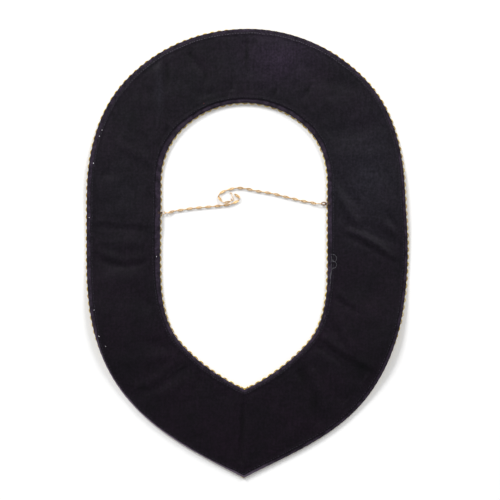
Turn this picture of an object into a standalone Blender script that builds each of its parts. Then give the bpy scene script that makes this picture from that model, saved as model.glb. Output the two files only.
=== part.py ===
# A regalia collar lying face down: velvet face, back lining, gold braid edges, two keeper chains.
# Metres, +Z up. +Y points to the nape, -Y to the point on the chest, +X to the right in the view
# from above. The origin is on the surface it lies on, under the middle of the collar.

import math

import bmesh
import bpy
from mathutils import Vector

# Driving sizes of the collar
OPENING_WIDTH = 0.1716        # across the neck opening, cloth edge to cloth edge
OPENING_LENGTH = 0.2920       # nape to the inner V, cloth edge to cloth edge
BAND_WIDTH = 0.0755           # the cloth band at the nape

# Cloth
FACE_THICKNESS = 0.0010       # velvet on its backing
HEM_WIDTH = 0.0085            # velvet turned up over the back, all round both edges
LINING_THICKNESS = 0.0010
LINING_INSET = 0.0020         # velvet left showing between its fold and the lining
LINING_LOFT = 0.0010          # how far the middle of the lining stands off the face
SHEET_GAP = 0.0003            # between pieces that lie on each other

# Braid sewn to the front, its scallops just showing past the cloth
BRAID_WIDTH = 0.0068
BRAID_THICKNESS = 0.0015
BRAID_PROJECTION = 0.0014     # scallop tips past the cloth edge
SCALLOP_DEPTH = 0.0010
SCALLOP_PITCH = 0.0074

# Chain
LINK_WIRE = 0.0007
LINK_WIDTH = 0.0025
LONG_LINK = 0.0071
SHORT_LINK = 0.0050
END_LINK_EXTRA = 0.0009       # how much wider the end links are
END_LINK_WIDTH = LINK_WIDTH + END_LINK_EXTRA
LEFT_END_LINK = 0.0052        # in the left ring
RIGHT_END_LINK = 0.0078       # in the right ring
TAIL_LINK = 0.0050            # in the hook's eye
LINK_BITE = 0.0001            # how far touching links sink into each other where they are fused
LINK_CLEARANCE = 0.00012      # links to the surface under them
LINK_TAPER_SHARE = 1.25       # length of a link's pointed end, in shares of half its width
WIRE_SIDES = 5

# Jump rings at the opening's two sides, and the hook on the right chain's end
LEFT_RING_LENGTH = 0.0048
LEFT_RING_WIDTH = 0.0027
LEFT_RING_WIRE = 0.0006
RIGHT_RING_LENGTH = 0.0060
RIGHT_RING_WIDTH = 0.0040
RIGHT_RING_WIRE = 0.0008
RING_SIDES = 10
RING_GAP = 0.0008             # ring to the cloth edge it is sewn to
RING_SEAT = 0.0014            # centre of a ring's wire to the centre of the end link's wire inside it
HOOK_WIRE = 0.0006
HOOK_EYE_RADIUS = 0.0013
HOOK_SHANK = 0.0034
HOOK_CURL_RADIUS = 0.0009
HOOK_SIDES = 6                # of the hook's and the rings' wire
HOOK_EYE_GAP = 40             # degrees of the eye left open on each side of the shank
HOOK_EYE_STEPS = 9
HOOK_CURL_STEPS = 5

# Where the chains leave the opening's edges, as shares of its length down from the nape
LEFT_DROP_SHARE = 0.383
RIGHT_DROP_SHARE = 0.351

# How far the cloth stands off the surface, and how deep its creases are
LIFT_HEIGHT = 0.0050
FOLD_HEIGHT = 0.0012

# How finely the cloth is built: the spacing of its cross-sections, the places across the band
# where they have a column, the share of a crease that reaches the lining's column beside the hem,
# and how much of the velvet's edge is rounded off
CLOTH_STEP = 0.0175
MIDDLE_COLUMNS = (0.30, 0.50, 0.70)
FOLD_SHARE_AT_HEM = 0.35
EDGE_ROUND_SHARE = 0.6

# How finely curves are read: samples per bend of the outline, spacing where only its extent is
# read, samples per bend of a chain's route, and the range and count of the search for the
# stretch that lets a chain's links fill its route
BEND_SAMPLES = 40
EXTENT_STEP = 0.002
ROUTE_SAMPLES = 24
STRETCH_RANGE = (0.8, 1.25)
STRETCH_STEPS = 40

# Outline, clockwise from the nape. in_x is a share of half the opening's width, in_drop a share
# of its length down from the nape. out_x and out_up are shares of the band's width, from the
# inner point to the outer one. Headings are in degrees as the edge is walked clockwise.
OUTLINE_COLUMNS = ("name", "in_x", "in_drop", "in_heading", "out_x", "out_up", "out_heading")
OUTLINE = (
    ("nape", 0.005, 0.000, 0, 0.04, 1.00, 0),
    ("right shoulder", 0.735, 0.086, -44, 0.81, 0.635, -47),
    ("right side top", 0.988, 0.276, -90, 1.04, -0.11, -88),
    ("right side low", 0.988, 0.560, -90, 1.08, 0.12, -91),
    ("right turn", 0.740, 0.841, -132, 0.875, -0.63, -124),
    ("point", 0.003, 1.000, -154, -0.01, -1.188, -153),
    ("point", 0.003, 1.000, -206, -0.01, -1.188, -207),
    ("left turn", -0.745, 0.841, -228, -0.80, -0.65, -233),
    ("left side low", -1.000, 0.545, -270, -0.99, -0.08, -269),
    ("left side top", -0.993, 0.276, -270, -0.995, -0.175, -271),
    ("left shoulder", -0.724, 0.086, -316, -0.785, 0.63, -313),
    ("nape", 0.005, 0.000, -360, 0.04, 1.00, -360),
)

# Places where the collar rises off the surface. across and along are shares of half the
# collar's width and length, reaches too, and height is a share of LIFT_HEIGHT.
LIFT_COLUMNS = ("name", "across", "along", "reach_across", "reach_along", "height")
LIFTS = (
    ("right haunch", 0.98, -0.42, 0.60, 0.36, 1.00),
    ("left haunch", -0.98, -0.34, 0.56, 0.36, 0.90),
    ("right shoulder", 1.00, 0.22, 0.42, 0.30, 0.45),
    ("left shoulder", -1.00, 0.36, 0.42, 0.30, 0.40),
)

# Creases in the lining, each a straight run between two places given as shares of half the
# collar's width and length. half_width is a share of the band's width, and height a share of
# FOLD_HEIGHT, negative for a valley.
FOLD_COLUMNS = ("name", "x0", "y0", "x1", "y1", "half_width", "height")
FOLDS = (
    ("nape crease", 0.02, 0.96, 0.02, 0.70, 0.07, -0.8),
    ("nape left puff", -0.27, 0.93, -0.30, 0.74, 0.10, 0.6),
    ("nape left crease", -0.34, 0.91, -0.37, 0.76, 0.08, -0.6),
    ("nape far left crease", -0.49, 0.87, -0.49, 0.74, 0.08, -0.6),
    ("left shoulder ridge", -0.55, 0.68, -0.61, 0.48, 0.11, 0.7),
    ("left upper crease", -0.96, 0.11, -0.57, 0.10, 0.10, -0.9),
    ("left lower crease", -0.93, -0.02, -0.57, -0.03, 0.10, -1.0),
    ("left seat ridge", -0.90, -0.10, -0.60, -0.10, 0.14, 0.7),
    ("left bottom ridge", -0.72, -0.62, -0.36, -0.46, 0.13, 0.9),
    ("point seam", -0.02, -0.62, -0.02, -0.96, 0.06, -0.9),
    ("right bottom ridge", 0.38, -0.48, 0.48, -0.74, 0.12, 0.8),
    ("right turn crease", 0.46, -0.38, 0.76, -0.56, 0.11, -0.9),
    ("right low ridge", 0.48, 0.20, 0.72, 0.06, 0.11, 0.9),
    ("right long ridge", 0.62, 0.10, 0.92, -0.02, 0.11, 1.0),
    ("right side crease", 0.62, 0.02, 0.90, -0.08, 0.09, -0.8),
    ("right shoulder crease", 0.54, 0.32, 0.70, 0.16, 0.09, -0.8),
)

# Routes of the two chains over the surface: x, y from the level halfway between the two rings,
# and how far they are raised where they lie over something. The first place of each follows its
# ring.
LEFT_ROUTE = (
    (-0.0767, -0.0031, 0.0000),
    (-0.0674, -0.0019, 0.0000),
    (-0.0578, -0.0003, 0.0000),
    (-0.0478, 0.0007, 0.0000),
    (-0.0387, 0.0015, 0.0000),
    (-0.0296, 0.0024, 0.0000),
    (-0.0244, 0.0029, 0.0000),
    (-0.0195, 0.0035, 0.0000),
    (-0.0148, 0.0048, 0.0000),
    (-0.0109, 0.0064, 0.0000),
    (-0.0080, 0.0083, 0.0000),
    (-0.0072, 0.0102, 0.0000),
    (-0.0085, 0.0118, 0.0000),
    (-0.0105, 0.0131, 0.0000),
    (-0.0125, 0.0144, 0.0000),
)
RIGHT_ROUTE = (
    (0.0671, 0.0057, 0.0000),
    (0.0566, 0.0074, 0.0000),
    (0.0475, 0.0097, 0.0000),
    (0.0379, 0.0119, 0.0000),
    (0.0281, 0.0145, 0.0000),
    (0.0190, 0.0162, 0.0000),
    (0.0096, 0.0176, 0.0000),
    (0.0006, 0.0198, 0.0000),
    (-0.0089, 0.0208, 0.0000),
    (-0.0141, 0.0202, 0.0000),
    (-0.0190, 0.0190, 0.0000),
    (-0.0241, 0.0173, 0.0000),
    (-0.0281, 0.0149, 0.0000),
    (-0.0294, 0.0119, 0.0000),
    (-0.0274, 0.0085, 0.0006),
    (-0.0241, 0.0058, 0.0022),
    (-0.0206, 0.0051, 0.0028),
    (-0.0175, 0.0066, 0.0018),
    (-0.0151, 0.0090, 0.0004),
)
HOOK_HEADING = 97             # degrees, the way the hook's shank points from its eye

BRAID_GOLD = (0.58, 0.36, 0.07)
VELVET_PURPLE = (0.028, 0.010, 0.036)
LINING_BLACK = (0.017, 0.014, 0.019)
CHAIN_BRASS = (0.60, 0.33, 0.12)
RING_BROWN = (0.28, 0.16, 0.07)


def clear_scene():
    for old in list(bpy.data.objects):
        bpy.data.objects.remove(old, do_unlink=True)


def material(name, colour, roughness, metallic=0.0):
    made = bpy.data.materials.new(name)
    made.use_nodes = True
    shader = made.node_tree.nodes["Principled BSDF"]
    shader.inputs["Base Color"].default_value = (*colour, 1.0)
    shader.inputs["Roughness"].default_value = roughness
    shader.inputs["Metallic"].default_value = metallic
    made.diffuse_color = (*colour, 1.0)
    return made


def add_object(name, mesh, finish, smooth_angle=40):
    mesh.materials.append(finish)
    mesh.shade_smooth()
    mesh.set_sharp_from_angle(angle=math.radians(smooth_angle))
    made = bpy.data.objects.new(name, mesh)
    bpy.context.scene.collection.objects.link(made)
    return made


def mesh_of(name, bm):
    bmesh.ops.recalc_face_normals(bm, faces=bm.faces)
    mesh = bpy.data.meshes.new(name)
    bm.to_mesh(mesh)
    bm.free()
    return mesh


# Outline

def arc_like(start, end, start_heading, end_heading, share):
    """A point on the smooth bend that leaves start and reaches end at the given headings."""
    turn = math.radians(abs(end_heading - start_heading))
    chord = (end - start).length
    handle = chord / 3
    if turn > 0.001:
        handle *= 2 * math.tan(turn / 4) / math.sin(turn / 2)
    a = math.radians(start_heading)
    b = math.radians(end_heading)
    near = start + handle * Vector((math.cos(a), math.sin(a)))
    far = end - handle * Vector((math.cos(b), math.sin(b)))
    rest = 1 - share
    return (rest ** 3 * start + 3 * rest ** 2 * share * near
            + 3 * rest * share ** 2 * far + share ** 3 * end)


def outline_rows():
    rows = [dict(zip(OUTLINE_COLUMNS, row)) for row in OUTLINE]
    for row in rows:
        row["inner"] = Vector((row["in_x"] * OPENING_WIDTH / 2, -row["in_drop"] * OPENING_LENGTH))
        row["outer"] = row["inner"] + BAND_WIDTH * Vector((row["out_x"], row["out_up"]))
    edge = [point for _, point in edge_pairs(rows, EXTENT_STEP)]
    middle = Vector(((min(p.x for p in edge) + max(p.x for p in edge)) / 2,
                     (min(p.y for p in edge) + max(p.y for p in edge)) / 2))
    for row in rows:
        row["inner"] -= middle
        row["outer"] -= middle
    return rows


def even_points(points, count):
    """count + 1 points at even distances along a line of points."""
    reach = [0.0]
    for a, b in zip(points, points[1:]):
        reach.append(reach[-1] + (b - a).length)
    made = []
    k = 0
    for i in range(count + 1):
        target = reach[-1] * i / count
        while k < len(points) - 2 and reach[k + 1] < target:
            k += 1
        share = (target - reach[k]) / (reach[k + 1] - reach[k])
        made.append(points[k].lerp(points[k + 1], min(1.0, share)))
    return made


def edge_pairs(rows, step):
    """Matching points of the inner and outer edge, all round, without the repeated last one."""
    pairs = []
    fine = [i / BEND_SAMPLES for i in range(BEND_SAMPLES + 1)]
    for a, b in zip(rows, rows[1:]):
        if a["name"] == b["name"]:
            continue
        inner = [arc_like(a["inner"], b["inner"], a["in_heading"], b["in_heading"], t) for t in fine]
        outer = [arc_like(a["outer"], b["outer"], a["out_heading"], b["out_heading"], t) for t in fine]
        length = sum((q - p).length for p, q in zip(outer, outer[1:]))
        count = max(2, round(length / step))
        pairs.extend(list(zip(even_points(inner, count), even_points(outer, count)))[:-1])
    return pairs


# Heights

def bump(share):
    return math.cos(math.pi / 2 * min(1.0, share)) ** 2


def lift_at(x, y, half_width, half_length):
    height = 0.0
    for values in LIFTS:
        row = dict(zip(LIFT_COLUMNS, values))
        dx = (x / half_width - row["across"]) / row["reach_across"]
        dy = (y / half_length - row["along"]) / row["reach_along"]
        height += LIFT_HEIGHT * row["height"] * bump(math.hypot(dx, dy))
    return height


def fold_at(x, y, half_width, half_length):
    here = Vector((x, y))
    height = 0.0
    for values in FOLDS:
        row = dict(zip(FOLD_COLUMNS, values))
        start = Vector((row["x0"] * half_width, row["y0"] * half_length))
        run = Vector((row["x1"] * half_width, row["y1"] * half_length)) - start
        share = (here - start).dot(run) / run.length_squared
        foot = start + min(1.0, max(0.0, share)) * run
        away = (here - foot).length / (row["half_width"] * BAND_WIDTH)
        height += FOLD_HEIGHT * row["height"] * bump(away)
    return height


class Ground:
    """The collar's half sizes, and the lift of any place on it."""

    def __init__(self, rows):
        outer = [point for _, point in edge_pairs(rows, EXTENT_STEP)]
        self.half_width = max(p.x for p in outer)
        self.half_length = max(p.y for p in outer)

    def lift(self, x, y):
        return lift_at(x, y, self.half_width, self.half_length)

    def fold(self, x, y):
        return fold_at(x, y, self.half_width, self.half_length)


# Cloth

def closed_loft(name, sections):
    """Joins closed sections, each a loop of places, into one ring."""
    bm = bmesh.new()
    loops = [[bm.verts.new(place) for place in section] for section in sections]
    for here, there in zip(loops, loops[1:] + loops[:1]):
        for a, b, c, d in zip(here, here[1:] + here[:1], there[1:] + there[:1], there):
            bm.faces.new((a, b, c, d))
    return mesh_of(name, bm)


def face_section(inner, outer, ground):
    """The velvet: a flat sheet whose rim is twice as thick where the hem is turned up."""
    thick = FACE_THICKNESS
    soft = EDGE_ROUND_SHARE * thick
    width = (outer - inner).length
    level = BRAID_THICKNESS + SHEET_GAP
    rim = ((0, 0), (0, 2 * thick - soft), (soft, 2 * thick), (HEM_WIDTH, 2 * thick),
           (HEM_WIDTH, thick))
    middle = [share * width for share in MIDDLE_COLUMNS]
    profile = list(rim)
    profile += [(x, thick) for x in middle]
    profile += [(width - x, z) for x, z in reversed(rim)]
    profile += [(x, 0) for x in reversed(middle)]
    return place_section(profile, inner, outer, level, ground)


def lining_section(inner, outer, ground):
    """The lining: high over the two hems, lower between them, with its creases."""
    width = (outer - inner).length
    hem_end = HEM_WIDTH + SHEET_GAP
    on_hem = BRAID_THICKNESS + 2 * SHEET_GAP + 2 * FACE_THICKNESS
    on_face = on_hem - FACE_THICKNESS + LINING_LOFT
    columns = [(LINING_INSET, on_hem, 0.0), (hem_end, on_hem, FOLD_SHARE_AT_HEM)]
    columns += [(share * width, on_face, 1.0) for share in MIDDLE_COLUMNS]
    columns += [(width - hem_end, on_hem, FOLD_SHARE_AT_HEM), (width - LINING_INSET, on_hem, 0.0)]
    run = (outer - inner) / width
    under = []
    for across, level, folded in columns:
        place = inner + across * run
        crease = folded * ground.fold(place.x, place.y)
        lowest = on_hem if folded < 1.0 else on_hem - FACE_THICKNESS
        height = max(lowest, level + crease)
        under.append(Vector((place.x, place.y, height + ground.lift(place.x, place.y))))
    over = [place + Vector((0, 0, LINING_THICKNESS)) for place in under]
    return under + list(reversed(over))


def place_section(profile, inner, outer, level, ground):
    run = (outer - inner).normalized()
    section = []
    for across, up in profile:
        place = inner + across * run
        section.append(Vector((place.x, place.y, level + up + ground.lift(place.x, place.y))))
    return section


def make_face(rows, ground, finish):
    sections = [face_section(a, b, ground) for a, b in edge_pairs(rows, CLOTH_STEP)]
    return add_object("velvet_face", closed_loft("velvet_face", sections), finish)


def make_lining(rows, ground, finish):
    sections = [lining_section(a, b, ground) for a, b in edge_pairs(rows, CLOTH_STEP)]
    return add_object("back_lining", closed_loft("back_lining", sections), finish)


# Braid

def half_edges(rows, edge, heading):
    """The right and left half of one edge, each from end to end, as fine points."""
    halves = []
    line = []
    for a, b in zip(rows, rows[1:]):
        if a["name"] == b["name"]:
            halves.append(line)
            line = []
            continue
        for i in range(BEND_SAMPLES):
            share = i / BEND_SAMPLES
            line.append(arc_like(a[edge], b[edge], a[heading], b[heading], share))
        if b["name"] in ("point", "nape"):
            line.append(b[edge].copy())
    halves.append(line)
    return halves


def scalloped_braid(name, halves, outward, ground, finish):
    """A flat band under the cloth's edge, with a plain inner side and one scallop per pitch.

    outward is 1 where the braid shows on the left of the walk and -1 where it shows on its right.
    """
    stations = []
    for line in halves:
        length = sum((b - a).length for a, b in zip(line, line[1:]))
        count = round(length / SCALLOP_PITCH)
        stations += even_points(line, 2 * count)[:-1]
    bm = bmesh.new()
    tips = []
    backs = []
    total = len(stations)
    for i, here in enumerate(stations):
        before = (here - stations[i - 1]).normalized()
        after = (stations[(i + 1) % total] - here).normalized()
        along = (before + after).normalized()
        out = outward * Vector((-along.y, along.x))
        mitre = 1 / max(0.5, along.dot(after))
        is_tip = i % 2 == 0
        reach = BRAID_PROJECTION - (0.0 if is_tip else SCALLOP_DEPTH)
        tips.append(braid_pair(bm, here + out * reach * mitre, ground))
        if not is_tip:
            inside = BRAID_PROJECTION - SCALLOP_DEPTH - BRAID_WIDTH
            backs.append(braid_pair(bm, here + out * inside * mitre, ground))
    for i, back in enumerate(backs):
        next_back = backs[(i + 1) % len(backs)]
        valley = tips[2 * i + 1]
        tip = tips[(2 * i + 2) % total]
        next_valley = tips[(2 * i + 3) % total]
        for level in (0, 1):
            bm.faces.new((back[level], valley[level], tip[level]))
            bm.faces.new((back[level], tip[level], next_back[level]))
            bm.faces.new((next_back[level], tip[level], next_valley[level]))
        bm.faces.new((valley[0], tip[0], tip[1], valley[1]))
        bm.faces.new((tip[0], next_valley[0], next_valley[1], tip[1]))
        bm.faces.new((back[0], next_back[0], next_back[1], back[1]))
    return add_object(name, mesh_of(name, bm), finish)


def braid_pair(bm, place, ground):
    low = ground.lift(place.x, place.y)
    return (bm.verts.new((place.x, place.y, low)),
            bm.verts.new((place.x, place.y, low + BRAID_THICKNESS)))


# Wire pieces

def wire_loop(bm, path, radius, sides, normal):
    """A closed wire along a flat loop of places."""
    rings = []
    count = len(path)
    for i, here in enumerate(path):
        along = (path[(i + 1) % count] - path[i - 1]).normalized()
        out = along.cross(normal).normalized()
        before = (here - path[i - 1]).normalized()
        mitre = 1 / max(0.5, before.dot(along))
        ring = []
        for k in range(sides):
            angle = 2 * math.pi * k / sides
            off = mitre * math.cos(angle) * out + math.sin(angle) * normal
            ring.append(bm.verts.new(here + radius * off))
        rings.append(ring)
    join_rings(bm, rings + rings[:1])


def join_rings(bm, rings):
    for here, there in zip(rings, rings[1:]):
        for a, b, c, d in zip(here, here[1:] + here[:1], there[1:] + there[:1], there):
            bm.faces.new((a, b, c, d))


def link_path(middle, along, across, length, width, wire):
    """Six places round a lozenge-shaped link, measured along its wire's centre."""
    end = (length - wire) / 2
    side = (width - wire) / 2
    shoulder = end - LINK_TAPER_SHARE * side
    flat = ((end, 0), (shoulder, side), (-shoulder, side),
            (-end, 0), (-shoulder, -side), (shoulder, -side))
    return [middle + a * along + b * across for a, b in flat]


def smooth_line(points):
    """A smooth curve through the points."""
    padded = [2 * points[0] - points[1]] + list(points) + [2 * points[-1] - points[-2]]
    made = []
    for p0, p1, p2, p3 in zip(padded, padded[1:], padded[2:], padded[3:]):
        for i in range(ROUTE_SAMPLES):
            t = i / ROUTE_SAMPLES
            made.append(0.5 * (2 * p1 + t * (p2 - p0) + t * t * (2 * p0 - 5 * p1 + 4 * p2 - p3)
                               + t ** 3 * (3 * p1 - p0 - 3 * p2 + p3)))
    made.append(points[-1].copy())
    return made


def walk_links(line, holds):
    """Where links of the given inner lengths meet along a line, and how far they reach past it."""
    places = [line[0]]
    k = 0
    for hold in holds:
        while k < len(line) - 1 and (line[k + 1] - places[-1]).length < hold:
            k += 1
        if k == len(line) - 1:
            ahead = (line[-1] - line[-2]).normalized()
            places.append(places[-1] + ahead * hold)
            continue
        a = line[k] - places[-1]
        b = line[k + 1] - line[k]
        half = a.dot(b) / b.length_squared
        rest = (a.length_squared - hold ** 2) / b.length_squared
        share = -half + math.sqrt(max(0.0, half ** 2 - rest))
        places.append(line[k] + share * b)
    ahead = (line[-1] - line[-2]).normalized()
    return places, (places[-1] - line[-1]).dot(ahead)


def chain_links(line, end_link, tail_link):
    """The links in order, each its length, width and whether it stands upright.

    As many pairs of a long and a short link as come closest to the line's length.
    """
    length = sum((b - a).length for a, b in zip(line, line[1:]))
    first = [(end_link, END_LINK_WIDTH, True)]
    pair = [(LONG_LINK, LINK_WIDTH, False), (SHORT_LINK, LINK_WIDTH, True)]
    last = [(LONG_LINK, LINK_WIDTH, False)]
    if tail_link:
        last.append((tail_link, END_LINK_WIDTH, True))
    spare = length - sum(inner_hold(link[0]) for link in first + last)
    pairs = max(1, round(spare / sum(inner_hold(link[0]) for link in pair)))
    return first + pair * pairs + last


def inner_hold(length):
    return length - 2 * LINK_WIRE + LINK_BITE


def make_chain(name, line, end_link, tail_link, finish):
    links = chain_links(line, end_link, tail_link)
    holds = [inner_hold(length) for length, _, _ in links]
    low, high = STRETCH_RANGE
    for _ in range(STRETCH_STEPS):
        stretch = (low + high) / 2
        places, over = walk_links(line, [stretch * hold for hold in holds])
        if over > 0:
            high = stretch
        else:
            low = stretch
    flat_links = bmesh.new()
    upright_links = bmesh.new()
    for (_, width, upright), a, b in zip(links, places, places[1:]):
        along = (b - a).normalized()
        up = (Vector((0, 0, 1)) - along.z * along).normalized()
        side = up.cross(along)
        length = (b - a).length + 2 * LINK_WIRE - LINK_BITE
        across = up if upright else side
        path = link_path((a + b) / 2, along, across, length, width, LINK_WIRE)
        wire_loop(upright_links if upright else flat_links, path, LINK_WIRE / 2, WIRE_SIDES,
                  side if upright else up)
    made = add_object(name, mesh_of(name, flat_links), finish)
    others = bpy.data.objects.new(name + "_upright", mesh_of(name + "_upright", upright_links))
    bpy.context.scene.collection.objects.link(others)
    others.hide_render = True
    others.display_type = "WIRE"
    fuse = made.modifiers.new("fuse", "BOOLEAN")
    fuse.operation = "UNION"
    fuse.solver = "EXACT"
    fuse.object = others
    return places


def make_ring(name, middle, length, width, wire, finish):
    """A flat oval ring."""
    path = []
    for k in range(RING_SIDES):
        angle = 2 * math.pi * k / RING_SIDES
        along = (length - wire) / 2 * math.cos(angle)
        across = (width - wire) / 2 * math.sin(angle)
        path.append(middle + Vector((along, across, 0)))
    bm = bmesh.new()
    wire_loop(bm, path, wire / 2, HOOK_SIDES, Vector((0, 0, 1)))
    return add_object(name, mesh_of(name, bm), finish)


def make_hook(middle, finish):
    """A bent wire: a round eye, a straight shank and an open curl at its far end."""
    heading = math.radians(HOOK_HEADING)
    along = Vector((math.cos(heading), math.sin(heading), 0))
    side = Vector((-along.y, along.x, 0))
    places = []
    for k in range(HOOK_EYE_STEPS + 1):
        angle = math.radians(HOOK_EYE_GAP + (360 - 2 * HOOK_EYE_GAP) * k / HOOK_EYE_STEPS)
        places.append(middle + HOOK_EYE_RADIUS * (math.sin(angle) * side + math.cos(angle) * along))
    neck = middle + (HOOK_EYE_RADIUS + 2 * HOOK_WIRE) * along
    drop = Vector((0, 0, -(middle.z - HOOK_WIRE)))
    far = neck + HOOK_SHANK * along + drop
    places += [neck, neck.lerp(far, 0.5), far]
    for k in range(1, HOOK_CURL_STEPS + 1):
        angle = math.pi * k / HOOK_CURL_STEPS
        curl = HOOK_CURL_RADIUS * ((1 - math.cos(angle)) * side + math.sin(angle) * along)
        places.append(far + curl)
    bm = bmesh.new()
    rings = []
    for i, here in enumerate(places):
        before = places[max(0, i - 1)]
        after = places[min(len(places) - 1, i + 1)]
        heading = (after - before).normalized()
        up = (Vector((0, 0, 1)) - heading.z * heading).normalized()
        out = up.cross(heading)
        ring = []
        for k in range(HOOK_SIDES):
            angle = 2 * math.pi * k / HOOK_SIDES
            off = math.cos(angle) * out + math.sin(angle) * up
            ring.append(bm.verts.new(here + HOOK_WIRE / 2 * off))
        rings.append(ring)
    join_rings(bm, rings)
    bm.faces.new(rings[0])
    bm.faces.new(rings[-1])
    return add_object("chain_hook", mesh_of("chain_hook", bm), finish)


def edge_place(rows, side, drop):
    """The opening's edge on its right (1) or left (-1), at a share of its length from the nape."""
    y = rows[0]["inner"].y - drop * OPENING_LENGTH
    near = [inner for inner, _ in edge_pairs(rows, EXTENT_STEP) if side * inner.x > 0]
    return Vector((min(near, key=lambda place: abs(place.y - y)).x, y))


def make_keeper(rows, brass, brown):
    """Both rings, both chains and the hook."""
    rest = LINK_WIDTH / 2 + LINK_CLEARANCE
    tail_height = END_LINK_WIDTH / 2 + LINK_CLEARANCE
    into_ring = RING_SEAT - (LINK_WIRE - LINK_BITE) / 2
    left = ("left", -1, LEFT_DROP_SHARE, LEFT_RING_LENGTH, LEFT_RING_WIDTH, LEFT_RING_WIRE,
            LEFT_END_LINK, None, LEFT_ROUTE)
    right = ("right", 1, RIGHT_DROP_SHARE, RIGHT_RING_LENGTH, RIGHT_RING_WIDTH, RIGHT_RING_WIRE,
             RIGHT_END_LINK, TAIL_LINK, RIGHT_ROUTE)
    level = (edge_place(rows, -1, LEFT_DROP_SHARE).y + edge_place(rows, 1, RIGHT_DROP_SHARE).y) / 2
    for name, side, drop, length, width, wire, end_link, tail_link, route in (left, right):
        edge = edge_place(rows, side, drop)
        over_braid = BRAID_THICKNESS + SHEET_GAP + wire / 2
        middle = Vector((edge.x - side * (RING_GAP + length / 2), edge.y, over_braid))
        make_ring("jump_ring_" + name, middle, length, width, wire, brown)
        start = middle - side * Vector(((length - wire) / 2 - into_ring, 0, 0))
        points = [start, start - side * Vector((end_link, 0, 0))]
        points += [Vector((x, level + y, rest + raised)) for x, y, raised in route]
        if tail_link:
            points[-1].z = tail_height
        places = make_chain("keeper_chain_" + name, smooth_line(points), end_link, tail_link, brass)
    ahead = (places[-1] - places[-2]).normalized()
    eye = places[-1] - ahead * (into_ring - HOOK_EYE_RADIUS)
    make_hook(Vector((eye.x, eye.y, tail_height)), brass)


def main():
    clear_scene()
    gold = material("braid_gold", BRAID_GOLD, 0.45, 0.7)
    velvet = material("velvet_purple", VELVET_PURPLE, 0.9)
    lining = material("lining_black", LINING_BLACK, 0.75)
    brass = material("chain_brass", CHAIN_BRASS, 0.3, 1.0)
    brown = material("ring_brown", RING_BROWN, 0.4, 1.0)
    rows = outline_rows()
    ground = Ground(rows)
    make_face(rows, ground, velvet)
    make_lining(rows, ground, lining)
    scalloped_braid("braid_outer", half_edges(rows, "outer", "out_heading"), 1, ground, gold)
    scalloped_braid("braid_inner", half_edges(rows, "inner", "in_heading"), -1, ground, gold)
    make_keeper(rows, brass, brown)


main()
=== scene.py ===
# Looks of the regalia collar that lies face down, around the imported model.
# Metres, +Z up, +Y to the nape, +X to the right in the view from above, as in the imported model.

import random
from math import cos, pi, radians, sin, sqrt

import bmesh
import bpy
import numpy as np
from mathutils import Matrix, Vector, noise
from mathutils.bvhtree import BVHTree
from numpy.linalg import norm


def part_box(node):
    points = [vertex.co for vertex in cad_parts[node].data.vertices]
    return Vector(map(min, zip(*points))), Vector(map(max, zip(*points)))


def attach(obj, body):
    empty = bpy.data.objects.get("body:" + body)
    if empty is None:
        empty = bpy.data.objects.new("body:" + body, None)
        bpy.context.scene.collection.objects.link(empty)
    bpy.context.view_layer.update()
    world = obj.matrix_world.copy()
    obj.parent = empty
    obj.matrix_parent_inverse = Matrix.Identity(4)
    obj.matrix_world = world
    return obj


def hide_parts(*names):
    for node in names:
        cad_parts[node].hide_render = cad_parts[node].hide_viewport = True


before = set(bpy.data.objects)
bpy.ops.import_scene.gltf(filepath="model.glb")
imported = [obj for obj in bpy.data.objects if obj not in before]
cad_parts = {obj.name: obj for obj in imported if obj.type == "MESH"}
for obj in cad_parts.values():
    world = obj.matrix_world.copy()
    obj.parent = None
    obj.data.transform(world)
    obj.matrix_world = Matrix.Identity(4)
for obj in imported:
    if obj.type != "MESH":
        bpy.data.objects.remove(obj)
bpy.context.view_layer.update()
random.seed(7)
bpy.context.scene.view_settings.view_transform = "Standard"

# The photograph: its size in pixels, how large one is on the cloth, and the pixel over the
# frame's origin
PHOTO_SIZE = 500
PIXEL = 0.00102
ORIGIN_X = 247.5
ORIGIN_Y = 253.5

# Cloth, with noises as rows of height, scale along x and y, and seed
FACE_THICKNESS = 0.0010
HEM_WIDTH = 0.0085
LINING_THICKNESS = 0.0009
EDGE_THINNING = 0.0004  # how much thinner it is pressed at its edges
LINING_INSET_INNER = 0.0044  # velvet left showing along the opening's upper part
LINING_INSET_POINT = 0.0028  # along its point
LINING_INSET_OUTER = 0.0033  # and along the outer edge
LINING_EXTRA_LEFT = 0.0013  # more of it on the opening's left side
LINING_EXTRA_SIDE = 0.0010  # and on the outer edge's left side
LINING_CLOSER_LOW = 0.0017  # less of it on the outer edge's lower left
SHEET_GAP = 0.0003
HEM_CLEARANCE = 0.0052  # past the hem, over which the lining stays at the hem's height
FINE_STEPS = 11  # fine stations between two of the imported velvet's
LINING_COLUMNS = 48
FOLD_REACH = 0.0018  # over which the velvet's edge rounds off
EDGE_WAVE = 0.00010  # how far the fold bulges over each scallop
FOLD_BENDS = 11
HEM_COLUMNS = (0.25, 0.5, 0.75, 0.97)
FRONT_COLUMNS = (0.04, 0.15, 0.3, 0.5, 0.7, 0.85, 0.95)
BACK_COLUMNS = (0.8, 0.5, 0.2)
LINING_DRAWN_OUT = 0.055  # by which the lining's columns crowd towards its edges
WRINKLES = (
    (0.00055, 0.020, 0.026, 3.1),
    (0.00034, 0.0075, 0.0100, 8.7),
    (0.00010, 0.0028, 0.0034, 1.9),
)
PUCKER = (0.00010, 0.0032, 0.0032, 5.5)
PUCKER_REACH = 0.006
INSET_DRIFT_INNER = (0.0005, 0.012, 0.012, 2.2)
INSET_DRIFT_OUTER = (0.0004, 0.012, 0.012, 6.2)

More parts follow.
